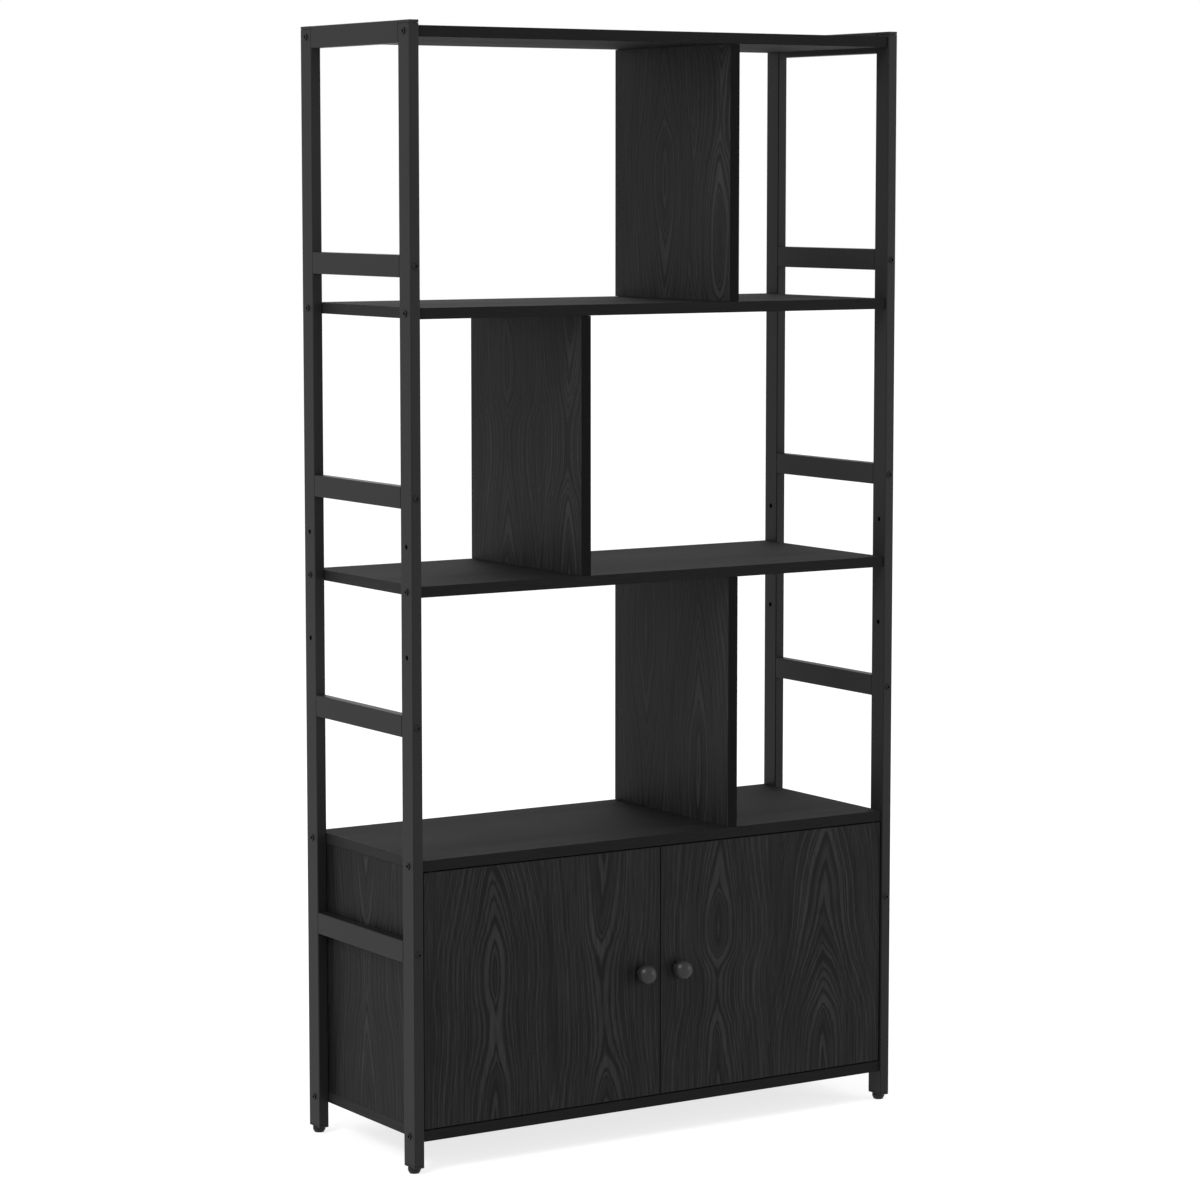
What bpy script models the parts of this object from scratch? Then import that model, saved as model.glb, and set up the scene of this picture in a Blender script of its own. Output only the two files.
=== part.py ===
"""Bookcase: two bolted steel ladder frames, five panels, offset dividers and a two-door cabinet.

Metres, +Z up, +X to the right seen from the front, which faces -Y. The origin is on the floor, under the
middle of the bookcase's outer box.
"""

import math

import bmesh
import bpy
from mathutils import Matrix, Vector

NAME = "bookcase"

# Overall size, over the posts
WIDTH = 0.800
DEPTH = 0.300
HEIGHT = 1.550

# Gap left between two pieces that touch
TOUCH = 0.0003

# Steel ladder frames
POST_WIDTH = 0.015
POST_DEPTH = 0.030
TUBE_WALL = 0.0012
TUBE_RADIUS = 0.0015
RAIL_HEIGHT = 0.030
RAILS_PER_SIDE = 5
LOWEST_RAIL_TOP = 0.318
RAIL_END_PLATE = 0.003

# Plastic plugs at the two ends of a post
CAP_RIM = 0.004
CAP_PLUG_LENGTH = 0.006
INSERT_RIM = 0.003
INSERT_PLUG_LENGTH = 0.026

# Levelling feet
FOOT_HEIGHT = 0.0082
FOOT_RADIUS = 0.009
FOOT_SOLE_RADIUS = 0.0066
FOOT_STEM_LENGTH = 0.032
FOOT_EDGE = 0.0006

# Panels
PANEL_THICKNESS = 0.015
PANEL_FRONT_SETBACK = 0.003
PANEL_REAR_SETBACK = 0.0015
PANEL_EDGE = 0.0005
BASE_CLEARANCE = 0.044
TOP_SHELF_DROP = 0.007
DIVIDER_THICKNESS = 0.015
DIVIDER_EXTRA_SETBACK = 0.0005
NARROW_BAY = 0.255
CABINET_SIDE_THICKNESS = 0.015
BACK_THICKNESS = 0.005
BACK_SETBACK = 0.005

# Spare holes for the middle shelf, measured from the bolts that hold it
ADJUST_UP = 0.0605
ADJUST_DOWN = 0.0885

# M6 bolts
BOLT_RADIUS = 0.003
BOLT_CLEARANCE = 0.0003
BOLT_HEAD_RADIUS = 0.0045
SHELF_BOLT_HEAD = 0.0012
RAIL_BOLT_HEAD = 0.0022
BOLT_GRIP = 0.022
BOLT_BORE_SPARE = 0.003
RAIL_BOLT_GRIP = 0.007
SOCKET_WIDTH = 0.004
SOCKET_DEPTH = 0.0021

# Doors
DOOR_THICKNESS = 0.015
DOOR_END_GAP = 0.0015
DOOR_MEETING_GAP = 0.0006
SWING_CLEARANCE = 0.0003
DOOR_EDGE = 0.0006

# Door pivots
PIVOT_INSET = 0.013
PIVOT_SETBACK = 0.006
PIN_RADIUS = 0.0025
PIN_FLANGE_RADIUS = 0.0045
PIN_SEAT = 0.009
PIN_REACH = 0.008
BUSH_RADIUS = 0.0045
BUSH_FLANGE_RADIUS = 0.0055
BUSH_LENGTH = 0.010
RUNNING_CLEARANCE = 0.0001

# Knobs
KNOB_RADIUS = 0.0145
KNOB_LENGTH = 0.025
KNOB_WIDEST = 0.0115
KNOB_BACK_DEPTH = 0.0085
KNOB_NECK_RADIUS = 0.0073
KNOB_INSET = 0.030
KNOB_STUD_RADIUS = 0.002
KNOB_STUD_LENGTH = 0.010

# Magnetic catch and its strike plates
CATCH_WIDTH = 0.046
CATCH_DEPTH = 0.014
CATCH_HEIGHT = 0.013
STRIKE_WIDTH = 0.018
STRIKE_HEIGHT = 0.012
STRIKE_THICKNESS = 0.0012
STRIKE_INSET = 0.002
CATCH_EDGE = 0.001

# Facets of round pieces
HOLE_SIDES = 8
BOLT_SIDES = 12
FOOT_SIDES = 16
PIVOT_SIDES = 20
KNOB_SIDES = 24
KNOB_DOME_STEPS = 6
KNOB_BACK_STEPS = 3

# Worked out from the sizes above
KNOB_FRONT_BEYOND_POSTS = KNOB_LENGTH - PANEL_FRONT_SETBACK
BOLT_BEHIND_POSTS = RAIL_BOLT_HEAD + TOUCH
FRONT = (KNOB_FRONT_BEYOND_POSTS - BOLT_BEHIND_POSTS - DEPTH) / 2
BACK = FRONT + DEPTH
HALF = WIDTH / 2
INNER = HALF - POST_WIDTH
PANEL_HALF = INNER - TOUCH
PANEL_FRONT = FRONT + PANEL_FRONT_SETBACK
PANEL_BACK = BACK - PANEL_REAR_SETBACK
TOP_SHELF_Z = HEIGHT - TOP_SHELF_DROP - PANEL_THICKNESS
PANEL_PITCH = (TOP_SHELF_Z - BASE_CLEARANCE) / 4
RAIL_PITCH = (HEIGHT - LOWEST_RAIL_TOP) / (RAILS_PER_SIDE - 1)
POST_BOTTOM = FOOT_HEIGHT + TOUCH + INSERT_RIM + TOUCH
POST_TOP = HEIGHT - CAP_RIM - TOUCH
POST_Y = {"front": FRONT + POST_DEPTH / 2, "rear": BACK - POST_DEPTH / 2}
SIDES = {"left": -1, "right": 1}
HOLE_RADIUS = BOLT_RADIUS + BOLT_CLEARANCE

# As a door opens, its front corner swings past the post and its back corner past the cabinet side
FRONT_SWING = math.hypot(PIVOT_INSET, PIVOT_SETBACK)
BACK_SWING = math.hypot(PIVOT_INSET, DOOR_THICKNESS - PIVOT_SETBACK)
DOOR_SIDE_GAP = FRONT_SWING - PIVOT_INSET + SWING_CLEARANCE
PIVOT_X = INNER - DOOR_SIDE_GAP - PIVOT_INSET
PIVOT_Y = PANEL_FRONT + PIVOT_SETBACK
FLANGE = (DOOR_END_GAP - 3 * TOUCH) / 2
CABINET_SIDE_FRONT = PIVOT_Y + BACK_SWING + 2 * SWING_CLEARANCE


def panel_z(index):
    """Underside of a panel, counted from the base panel at 0 to the top shelf at 4."""
    return BASE_CLEARANCE + index * PANEL_PITCH


def bolt_z(index):
    """Height of the bolts that hold a panel."""
    return panel_z(index) + PANEL_THICKNESS / 2


def rail_top(number):
    """Top of a side rail, counted from the top rail at 1."""
    return HEIGHT - (number - 1) * RAIL_PITCH


def rail_bolt_z(number):
    return rail_top(number) - RAIL_HEIGHT / 2


BASE_TOP = panel_z(0) + PANEL_THICKNESS
CABINET_CEILING = panel_z(1)
DOOR_BOTTOM = BASE_TOP + DOOR_END_GAP
DOOR_TOP = CABINET_CEILING - DOOR_END_GAP


# Scene, collections and materials


def clear_scene():
    for thing in list(bpy.data.objects):
        bpy.data.objects.remove(thing, do_unlink=True)


def new_collection(name):
    collection = bpy.data.collections.new(name)
    bpy.context.scene.collection.children.link(collection)
    return collection


def make_material(name, colour, roughness, metallic=0.0):
    material = bpy.data.materials.new(name)
    material.use_nodes = True
    shader = material.node_tree.nodes["Principled BSDF"]
    shader.inputs["Base Color"].default_value = (*colour, 1.0)
    shader.inputs["Roughness"].default_value = roughness
    shader.inputs["Metallic"].default_value = metallic
    material.diffuse_color = (*colour, 1.0)
    return material


clear_scene()
PARTS = new_collection(NAME)
CUTTERS = new_collection(NAME + "_cutters")
FRAME_BLACK = make_material("frame_black", (0.045, 0.045, 0.045), 0.45)
BLACK_OAK = make_material("black_oak", (0.022, 0.022, 0.022), 0.55)
BLACK_PLASTIC = make_material("black_plastic", (0.018, 0.018, 0.018), 0.5)
BLACK_ZINC = make_material("black_zinc", (0.05, 0.05, 0.05), 0.35, 0.8)
BLACK_BOARD = make_material("black_board", (0.02, 0.02, 0.02), 0.6)
KNOB_BLACK = make_material("knob_black", (0.03, 0.03, 0.03), 0.4)
BRIGHT_STEEL = make_material("bright_steel", (0.6, 0.6, 0.6), 0.3, 1.0)


# Shapes


def add_object(name, mesh, material, collection=PARTS):
    thing = bpy.data.objects.new(name, mesh)
    collection.objects.link(thing)
    if material:
        mesh.materials.clear()
        mesh.materials.append(material)
    return thing


def mesh_from(bm, name):
    mesh = bpy.data.meshes.new(name)
    bm.to_mesh(mesh)
    bm.free()
    return mesh


def box_bmesh(low, high):
    low, high = Vector(low), Vector(high)
    bm = bmesh.new()
    size = high - low
    matrix = Matrix.Translation((low + high) / 2) @ Matrix.Diagonal((*size, 1.0))
    bmesh.ops.create_cube(bm, size=1.0, matrix=matrix)
    return bm


def bar_bmesh(low, high, along, radius):
    """A box whose four long edges, along axis 0, 1 or 2, are rounded."""
    bm = box_bmesh(low, high)
    long_edges = []
    for edge in bm.edges:
        run = edge.verts[0].co - edge.verts[1].co
        if abs(run[along]) > 0.99 * run.length:
            long_edges.append(edge)
    bmesh.ops.bevel(bm, geom=long_edges, offset=radius, segments=2, profile=0.5, affect="EDGES")
    return bm


def add_box(name, low, high, material, edge=0.0):
    thing = add_object(name, mesh_from(box_bmesh(low, high), name), material)
    if edge:
        bevel = thing.modifiers.new("edges", "BEVEL")
        bevel.width = edge
        bevel.segments = 1
    return thing


def add_bar(name, low, high, along, radius, material):
    return add_object(name, mesh_from(bar_bmesh(low, high, along, radius), name), material)


def add_turned(name, profile, sides, material):
    """A profile of (radius, height) points, from the top of the axis down its outer side, turned round Z."""
    closed = profile[0][0] > 0
    points = [(radius, 0.0, height) for radius, height in profile]
    edges = [(i, i + 1) for i in range(len(points) - 1)]
    if closed:
        edges.append((len(points) - 1, 0))
    mesh = bpy.data.meshes.new(name)
    mesh.from_pydata(points, edges, [])
    thing = add_object(name, mesh, material)
    screw = thing.modifiers.new("turned", "SCREW")
    screw.steps = sides
    screw.render_steps = sides
    screw.use_merge_vertices = True
    screw.merge_threshold = 0.00001
    return thing


def combine(thing, shape, what, operation):
    """Cut a closed shape from a piece, or join it on, with a Boolean named for what it makes."""
    name = thing.name + "_" + what
    cutter = add_object(name, mesh_from(shape, name), None, CUTTERS)
    cutter.hide_render = True
    cutter.display_type = "WIRE"
    boolean = thing.modifiers.new(what, "BOOLEAN")
    boolean.operation = operation
    boolean.solver = "EXACT"
    boolean.object = cutter
    return cutter


def cut(thing, shape, what):
    return combine(thing, shape, what, "DIFFERENCE")


def add_rod(bm, start, end, radius, sides):
    """Add a cylinder from start to end, such as the cutter of a round hole."""
    start, end = Vector(start), Vector(end)
    run = end - start
    turn = run.to_track_quat("Z", "Y").to_matrix().to_4x4()
    bmesh.ops.create_cone(
        bm,
        cap_ends=True,
        segments=sides,
        radius1=radius,
        radius2=radius,
        depth=run.length,
        matrix=Matrix.Translation((start + end) / 2) @ turn,
    )


def rods_bmesh(rods, sides=HOLE_SIDES):
    bm = bmesh.new()
    for start, end, radius in rods:
        add_rod(bm, start, end, radius, sides)
    return bm


def aim(thing, location, outward):
    """Stand a turned piece at a point, with its top towards outward."""
    turn = Vector(outward).to_track_quat("Z", "Y").to_matrix().to_4x4()
    thing.matrix_world = Matrix.Translation(location) @ turn
    return thing


# Steel frames


def make_post(side, end):
    sign = SIDES[side]
    x = sign * (HALF - POST_WIDTH / 2)
    y = POST_Y[end]
    half = Vector((POST_WIDTH / 2, POST_DEPTH / 2, 0))
    low = Vector((x, y, POST_BOTTOM)) - half
    high = Vector((x, y, POST_TOP)) + half
    name = f"{side}_{end}_post"
    post = add_bar(name, low, high, 2, TUBE_RADIUS, FRAME_BLACK)

    wall = Vector((TUBE_WALL, TUBE_WALL, -POST_WIDTH))
    inside = bar_bmesh(low + wall, high - wall, 2, TUBE_RADIUS - TUBE_WALL)
    cut(post, inside, "bore")

    heights = [bolt_z(index) for index in range(5)]
    heights += [bolt_z(2) + ADJUST_UP, bolt_z(2) - ADJUST_DOWN]
    rods = [((x - POST_WIDTH, y, z), (x + POST_WIDTH, y, z), HOLE_RADIUS) for z in heights]
    for number in range(2, RAILS_PER_SIDE + 1):
        z = rail_bolt_z(number)
        rods.append(((x, y - POST_DEPTH, z), (x, y + POST_DEPTH, z), HOLE_RADIUS))
    cut(post, rods_bmesh(rods), "holes")


def make_plug(name, side, end, rim, body):
    """A plastic end plug: a rim as wide as the tube, and a body that fits inside it.

    rim and body are the lowest and highest z of the two.
    """
    centre = Vector((SIDES[side] * (HALF - POST_WIDTH / 2), POST_Y[end], 0))
    rim_half = Vector((POST_WIDTH / 2, POST_DEPTH / 2, 0))
    shrink = TUBE_WALL + TOUCH
    body_half = rim_half - Vector((shrink, shrink, 0))
    low, high = [Vector((0, 0, z)) for z in rim]
    plug = add_bar(name, centre - rim_half + low, centre + rim_half + high, 2, TUBE_RADIUS, BLACK_PLASTIC)
    low, high = [Vector((0, 0, z)) for z in body]
    inside = bar_bmesh(centre - body_half + low, centre + body_half + high, 2, TUBE_RADIUS - TUBE_WALL)
    combine(plug, inside, "body", "UNION")
    return plug, centre


def make_cap(side, end):
    rim_low = HEIGHT - CAP_RIM
    body = (rim_low - CAP_PLUG_LENGTH, HEIGHT - CAP_RIM / 2)
    make_plug(f"{side}_{end}_post_cap", side, end, (rim_low, HEIGHT), body)


def make_foot(side, end):
    """The threaded insert in the bottom of a post, and the levelling foot that screws into it."""
    name = f"{side}_{end}_foot"
    rim_low = FOOT_HEIGHT + TOUCH
    rim_high = rim_low + INSERT_RIM
    body = (rim_low + INSERT_RIM / 2, rim_high + INSERT_PLUG_LENGTH)
    insert, centre = make_plug(name + "_insert", side, end, (rim_low, rim_high), body)
    above = centre + Vector((0, 0, 2 * body[1]))
    cut(insert, rods_bmesh([(centre, above, HOLE_RADIUS)], FOOT_SIDES), "thread")

    stem_top = FOOT_HEIGHT + FOOT_STEM_LENGTH
    profile = [
        (0, stem_top),
        (BOLT_RADIUS - FOOT_EDGE, stem_top),
        (BOLT_RADIUS, stem_top - FOOT_EDGE),
        (BOLT_RADIUS, FOOT_HEIGHT),
        (FOOT_RADIUS - FOOT_EDGE, FOOT_HEIGHT),
        (FOOT_RADIUS, FOOT_HEIGHT - FOOT_EDGE),
        (FOOT_RADIUS, FOOT_HEIGHT / 2),
        (FOOT_SOLE_RADIUS, 0),
        (0, 0),
    ]
    foot = add_turned(name, profile, FOOT_SIDES, BLACK_PLASTIC)
    foot.location = centre


def make_rail(side, number):
    sign = SIDES[side]
    x = sign * (HALF - POST_WIDTH / 2)
    top = rail_top(number)
    start = FRONT + POST_DEPTH + TOUCH
    end = BACK - POST_DEPTH - TOUCH
    low = Vector((x - POST_WIDTH / 2, start, top - RAIL_HEIGHT))
    high = Vector((x + POST_WIDTH / 2, end, top))
    rail = add_bar(f"{side}_side_rail_{number}", low, high, 1, TUBE_RADIUS, FRAME_BLACK)

    wall = Vector((TUBE_WALL, RAIL_END_PLATE, TUBE_WALL))
    cut(rail, bar_bmesh(low + wall, high - wall, 1, TUBE_RADIUS - TUBE_WALL), "bore")
    z = rail_bolt_z(number)
    cut(rail, rods_bmesh([((x, FRONT, z), (x, BACK, z), HOLE_RADIUS)]), "threads")


# Bolts


def add_bolt(name, head, length, location, outward):
    """A socket bolt whose head stands on the point at location."""
    ease = head * 0.4
    profile = [
        (0, head),
        (BOLT_HEAD_RADIUS - ease, head),
        (BOLT_HEAD_RADIUS, head - ease),
        (BOLT_HEAD_RADIUS, 0),
        (BOLT_RADIUS, 0),
        (BOLT_RADIUS, -length),
        (0, -length),
    ]
    bolt = aim(add_turned(name, profile, BOLT_SIDES, BLACK_ZINC), location, outward)
    hexagon = ((0, 0, head - SOCKET_DEPTH), (0, 0, 2 * head), SOCKET_WIDTH / math.sqrt(3))
    aim(cut(bolt, rods_bmesh([hexagon], 6), "socket"), location, outward)


def make_middle_shelf_bolt(side, end):
    sign = SIDES[side]
    length = POST_WIDTH + 2 * TOUCH + BOLT_GRIP
    location = (sign * (HALF + TOUCH), POST_Y[end], bolt_z(2))
    add_bolt(f"{side}_{end}_middle_shelf_bolt", SHELF_BOLT_HEAD, length, location, (sign, 0, 0))


def make_rail_bolt(side, end, number):
    """A bolt through a post into the end of a side rail."""
    outward = -1 if end == "front" else 1
    face = FRONT if end == "front" else BACK
    x = SIDES[side] * (HALF - POST_WIDTH / 2)
    length = POST_DEPTH + 2 * TOUCH + RAIL_BOLT_GRIP
    location = (x, face + outward * TOUCH, rail_bolt_z(number))
    add_bolt(f"{side}_{end}_rail_{number}_bolt", RAIL_BOLT_HEAD, length, location, (0, outward, 0))


# Panels, dividers and the cabinet


def make_panel(name, index):
    """A shelf panel between the side frames, with the bolt bores in its ends."""
    z = panel_z(index)
    low = (-PANEL_HALF, PANEL_FRONT, z)
    high = (PANEL_HALF, PANEL_BACK, z + PANEL_THICKNESS)
    panel = add_box(name, low, high, BLACK_OAK, PANEL_EDGE)
    bore_depth = BOLT_GRIP + BOLT_BORE_SPARE
    rods = []
    for sign in SIDES.values():
        for y in POST_Y.values():
            mouth = (sign * (PANEL_HALF + PANEL_THICKNESS), y, bolt_z(index))
            bottom = (sign * (PANEL_HALF - bore_depth), y, bolt_z(index))
            rods.append((mouth, bottom, HOLE_RADIUS))
    cut(panel, rods_bmesh(rods), "bolt_bores")
    return panel


def bore_for_pins(panel, face_z, inward):
    """Bore a panel for the two door pins, from its face at face_z."""
    rods = []
    for sign in SIDES.values():
        mouth = (sign * PIVOT_X, PIVOT_Y, face_z - inward * PANEL_THICKNESS)
        bottom = (sign * PIVOT_X, PIVOT_Y, face_z + inward * (PIN_SEAT + TOUCH))
        rods.append((mouth, bottom, PIN_RADIUS + TOUCH))
    cut(panel, rods_bmesh(rods, PIVOT_SIDES), "pin_bores")


def make_divider(name, below, sign):
    """A divider standing on panel number below, one narrow bay away from the side given by sign."""
    edge_x = sign * (INNER - NARROW_BAY)
    inner_x = edge_x - sign * DIVIDER_THICKNESS
    setback = DIVIDER_EXTRA_SETBACK
    bottom = panel_z(below) + PANEL_THICKNESS + TOUCH
    low = (min(edge_x, inner_x), PANEL_FRONT + setback, bottom)
    high = (max(edge_x, inner_x), PANEL_BACK - setback, panel_z(below + 1) - TOUCH)
    add_box(name, low, high, BLACK_OAK, PANEL_EDGE)


def make_cabinet_side(side):
    sign = SIDES[side]
    outer_x = sign * PANEL_HALF
    inner_x = sign * (PANEL_HALF - CABINET_SIDE_THICKNESS)
    low = (min(outer_x, inner_x), CABINET_SIDE_FRONT, BASE_TOP + TOUCH)
    high = (max(outer_x, inner_x), PANEL_BACK, CABINET_CEILING - TOUCH)
    add_box(f"{side}_cabinet_side", low, high, BLACK_OAK, PANEL_EDGE)


def make_cabinet_back():
    half = PANEL_HALF - CABINET_SIDE_THICKNESS - TOUCH
    rear = PANEL_BACK - BACK_SETBACK
    low = (-half, rear - BACK_THICKNESS, BASE_TOP + TOUCH)
    high = (half, rear, CABINET_CEILING - TOUCH)
    add_box("cabinet_back", low, high, BLACK_BOARD)


# Doors and their fittings


def make_door(side):
    """A door whose origin is on its pivot axis, at the foot of the door."""
    sign = SIDES[side]
    outer_x = sign * PIVOT_INSET
    meeting_x = sign * (DOOR_MEETING_GAP / 2 - PIVOT_X)
    height = DOOR_TOP - DOOR_BOTTOM
    low = (min(outer_x, meeting_x), -PIVOT_SETBACK, 0)
    high = (max(outer_x, meeting_x), DOOR_THICKNESS - PIVOT_SETBACK, height)
    door = add_box(f"{side}_door", low, high, BLACK_OAK, DOOR_EDGE)
    pivot = Vector((sign * PIVOT_X, PIVOT_Y, DOOR_BOTTOM))
    door.location = pivot

    bore_radius = BUSH_RADIUS + TOUCH
    depth = BUSH_LENGTH + TOUCH
    bores = [
        ((0, 0, -depth), (0, 0, depth), bore_radius),
        ((0, 0, height - depth), (0, 0, height + depth), bore_radius),
    ]
    cutter = cut(door, rods_bmesh(bores, PIVOT_SIDES), "bush_bores")
    cutter.location = pivot

    knob_x = sign * (DOOR_MEETING_GAP / 2 + KNOB_INSET)
    knob_z = (DOOR_BOTTOM + DOOR_TOP) / 2
    mouth = (knob_x, PANEL_FRONT - DOOR_THICKNESS, knob_z)
    bottom = (knob_x, PANEL_FRONT + KNOB_STUD_LENGTH + TOUCH, knob_z)
    cut(door, rods_bmesh([(mouth, bottom, KNOB_STUD_RADIUS + TOUCH)]), "knob_bore")
    make_knob(side, (knob_x, PANEL_FRONT, knob_z))
    make_strike(side)
    make_pivots(side)


def make_knob(side, location):
    """A round knob on a short neck, with the stud that holds it in the door."""
    profile = [(0, KNOB_LENGTH)]
    for step in range(1, KNOB_DOME_STEPS + 1):
        angle = math.pi / 2 * step / KNOB_DOME_STEPS
        height = KNOB_WIDEST + (KNOB_LENGTH - KNOB_WIDEST) * math.cos(angle)
        profile.append((KNOB_RADIUS * math.sin(angle), height))
    where_neck_starts = math.acos(KNOB_NECK_RADIUS / KNOB_RADIUS)
    for step in range(1, KNOB_BACK_STEPS + 1):
        angle = where_neck_starts * step / KNOB_BACK_STEPS
        height = KNOB_WIDEST - KNOB_BACK_DEPTH * math.sin(angle)
        profile.append((KNOB_RADIUS * math.cos(angle), height))
    profile += [
        (KNOB_NECK_RADIUS, KNOB_WIDEST * 0.25),
        (KNOB_NECK_RADIUS * 1.15, TOUCH),
        (KNOB_STUD_RADIUS, TOUCH),
        (KNOB_STUD_RADIUS, -KNOB_STUD_LENGTH),
        (0, -KNOB_STUD_LENGTH),
    ]
    aim(add_turned(f"{side}_knob", profile, KNOB_SIDES, KNOB_BLACK), location, (0, -1, 0))


def make_strike(side):
    """The steel plate on the inside of a door that the catch pulls on."""
    sign = SIDES[side]
    near = DOOR_MEETING_GAP / 2 + STRIKE_INSET
    xs = sorted((sign * near, sign * (near + STRIKE_WIDTH)))
    y = PANEL_FRONT + DOOR_THICKNESS + TOUCH
    top = DOOR_TOP - STRIKE_INSET
    low = (xs[0], y, top - STRIKE_HEIGHT)
    high = (xs[1], y + STRIKE_THICKNESS, top)
    add_box(f"{side}_strike_plate", low, high, BRIGHT_STEEL)


def make_pivots(side):
    """Top and bottom pins in the panels, and the flanged bushes in the door that turn on them."""
    x = SIDES[side] * PIVOT_X
    for where, panel_face, up in (("lower", BASE_TOP, 1), ("upper", CABINET_CEILING, -1)):
        pin_profile = [
            (0, DOOR_END_GAP + PIN_REACH),
            (PIN_RADIUS, DOOR_END_GAP + PIN_REACH),
            (PIN_RADIUS, TOUCH + FLANGE),
            (PIN_FLANGE_RADIUS, TOUCH + FLANGE),
            (PIN_FLANGE_RADIUS, TOUCH),
            (PIN_RADIUS, TOUCH),
            (PIN_RADIUS, -PIN_SEAT),
            (0, -PIN_SEAT),
        ]
        pin = add_turned(f"{side}_door_{where}_pin", pin_profile, PIVOT_SIDES, BLACK_ZINC)
        aim(pin, (x, PIVOT_Y, panel_face), (0, 0, up))

        bore = PIN_RADIUS + RUNNING_CLEARANCE
        bush_profile = [
            (BUSH_RADIUS, BUSH_LENGTH),
            (BUSH_RADIUS, -TOUCH),
            (BUSH_FLANGE_RADIUS, -TOUCH),
            (BUSH_FLANGE_RADIUS, -TOUCH - FLANGE),
            (bore, -TOUCH - FLANGE),
            (bore, BUSH_LENGTH),
        ]
        door_end = panel_face + up * DOOR_END_GAP
        bush = add_turned(f"{side}_door_{where}_bush", bush_profile, PIVOT_SIDES, BLACK_PLASTIC)
        aim(bush, (x, PIVOT_Y, door_end), (0, 0, up))


def make_catch():
    """Double magnetic catch, screwed under the cabinet top behind the doors."""
    front = PANEL_FRONT + DOOR_THICKNESS + 2 * TOUCH + STRIKE_THICKNESS
    top = CABINET_CEILING - TOUCH
    low = (-CATCH_WIDTH / 2, front, top - CATCH_HEIGHT)
    high = (CATCH_WIDTH / 2, front + CATCH_DEPTH, top)
    add_box("magnetic_catch", low, high, BLACK_PLASTIC, CATCH_EDGE)


def main():
    for side in SIDES:
        for end in POST_Y:
            make_post(side, end)
            make_cap(side, end)
            make_foot(side, end)
            make_middle_shelf_bolt(side, end)
            make_rail_bolt(side, end, RAILS_PER_SIDE)
        for number in range(1, RAILS_PER_SIDE + 1):
            make_rail(side, number)

    base_panel = make_panel("base_panel", 0)
    cabinet_top = make_panel("cabinet_top", 1)
    make_panel("middle_shelf", 2)
    make_panel("upper_shelf", 3)
    make_panel("top_shelf", 4)
    bore_for_pins(base_panel, BASE_TOP, -1)
    bore_for_pins(cabinet_top, CABINET_CEILING, 1)

    make_divider("top_divider", 3, 1)
    make_divider("upper_divider", 2, -1)
    make_divider("middle_divider", 1, 1)

    make_cabinet_back()
    make_catch()
    for side in SIDES:
        make_cabinet_side(side)
        make_door(side)


main()
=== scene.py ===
"""Looks of the bookcase: powder-coated ladder frames, black oak boards with edging, fittings, studio."""

import math

import bmesh
import bpy
from mathutils import Matrix, Vector


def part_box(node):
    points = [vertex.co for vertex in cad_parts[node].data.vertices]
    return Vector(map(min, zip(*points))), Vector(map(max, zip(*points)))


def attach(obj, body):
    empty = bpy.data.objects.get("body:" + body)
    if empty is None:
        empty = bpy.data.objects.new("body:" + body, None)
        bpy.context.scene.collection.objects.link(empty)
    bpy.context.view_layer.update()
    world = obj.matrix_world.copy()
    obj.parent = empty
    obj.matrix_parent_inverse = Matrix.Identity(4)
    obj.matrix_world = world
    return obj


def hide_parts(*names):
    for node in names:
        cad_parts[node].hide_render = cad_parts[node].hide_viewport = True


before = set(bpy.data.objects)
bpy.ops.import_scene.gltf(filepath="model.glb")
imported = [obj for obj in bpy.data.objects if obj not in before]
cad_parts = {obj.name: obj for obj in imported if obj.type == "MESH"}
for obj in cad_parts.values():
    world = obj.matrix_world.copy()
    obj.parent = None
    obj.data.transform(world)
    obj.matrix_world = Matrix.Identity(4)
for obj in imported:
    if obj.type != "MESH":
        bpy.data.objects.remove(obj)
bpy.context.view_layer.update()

X, Y, Z = 0, 1, 2
SIDES = {"left": -1, "right": 1}
ENDS = {"front": -1, "rear": 1}
PANELS = ("base_panel", "cabinet_top", "middle_shelf", "upper_shelf", "top_shelf")
RAILS = range(1, 6)

# Steel frames
TUBE_RADIUS = 0.0015
TUBE_WALL = 0.0012
HOLE_RADIUS = 0.0033
HOLE_EASE = 0.0004
SPARE_UP = 0.0605
SPARE_DOWN = 0.0885

# Plastic plugs at the two ends of a post
CAP_RIM = 0.004
INSERT_RIM = 0.003
PLUG_INSET = 0.0016

# Levelling feet
FOOT_HEIGHT = 0.0082
FLUTES = 18
FLUTE_DEPTH = 0.018
THREAD_PITCH = 0.001
THREAD_DEPTH = 0.0006

# Boards
EDGING = 0.0008
EDGING_ROUND = 0.00025
BOARD_EASE = 0.00012

# Bolts
BOLT_RADIUS = 0.003
BOLT_LENGTH = 0.037
HEAD_RADIUS = 0.0045
SHELF_HEAD = 0.0012
RAIL_HEAD = 0.0022
SOCKET_WIDTH = 0.004
SOCKET_DEPTH = 0.0021
SEAT_GAP = 0.0003

# Door pivots
PIN_RADIUS = 0.0025
PIN_FLANGE_RADIUS = 0.0045
PIN_SEAT = 0.009
PIN_EASE = 0.0004
BUSH_RADIUS = 0.0045
BUSH_FLANGE_RADIUS = 0.0055
BUSH_BORE = 0.0026
PIVOT_FLANGE = 0.0003

# Knobs: the widest place, the neck and the round back, as shares of the length, radius and length
KNOB_WIDEST = 0.46
KNOB_NECK = 0.5
KNOB_BACK = 0.34

# Magnetic catch: its magnets' places from the middle, its poles' places from a magnet, its screws' places
MAGNET_OUT = 0.0115
POLE_OUT = 0.0046
CATCH_SCREW_OUT = 0.0175

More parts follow.
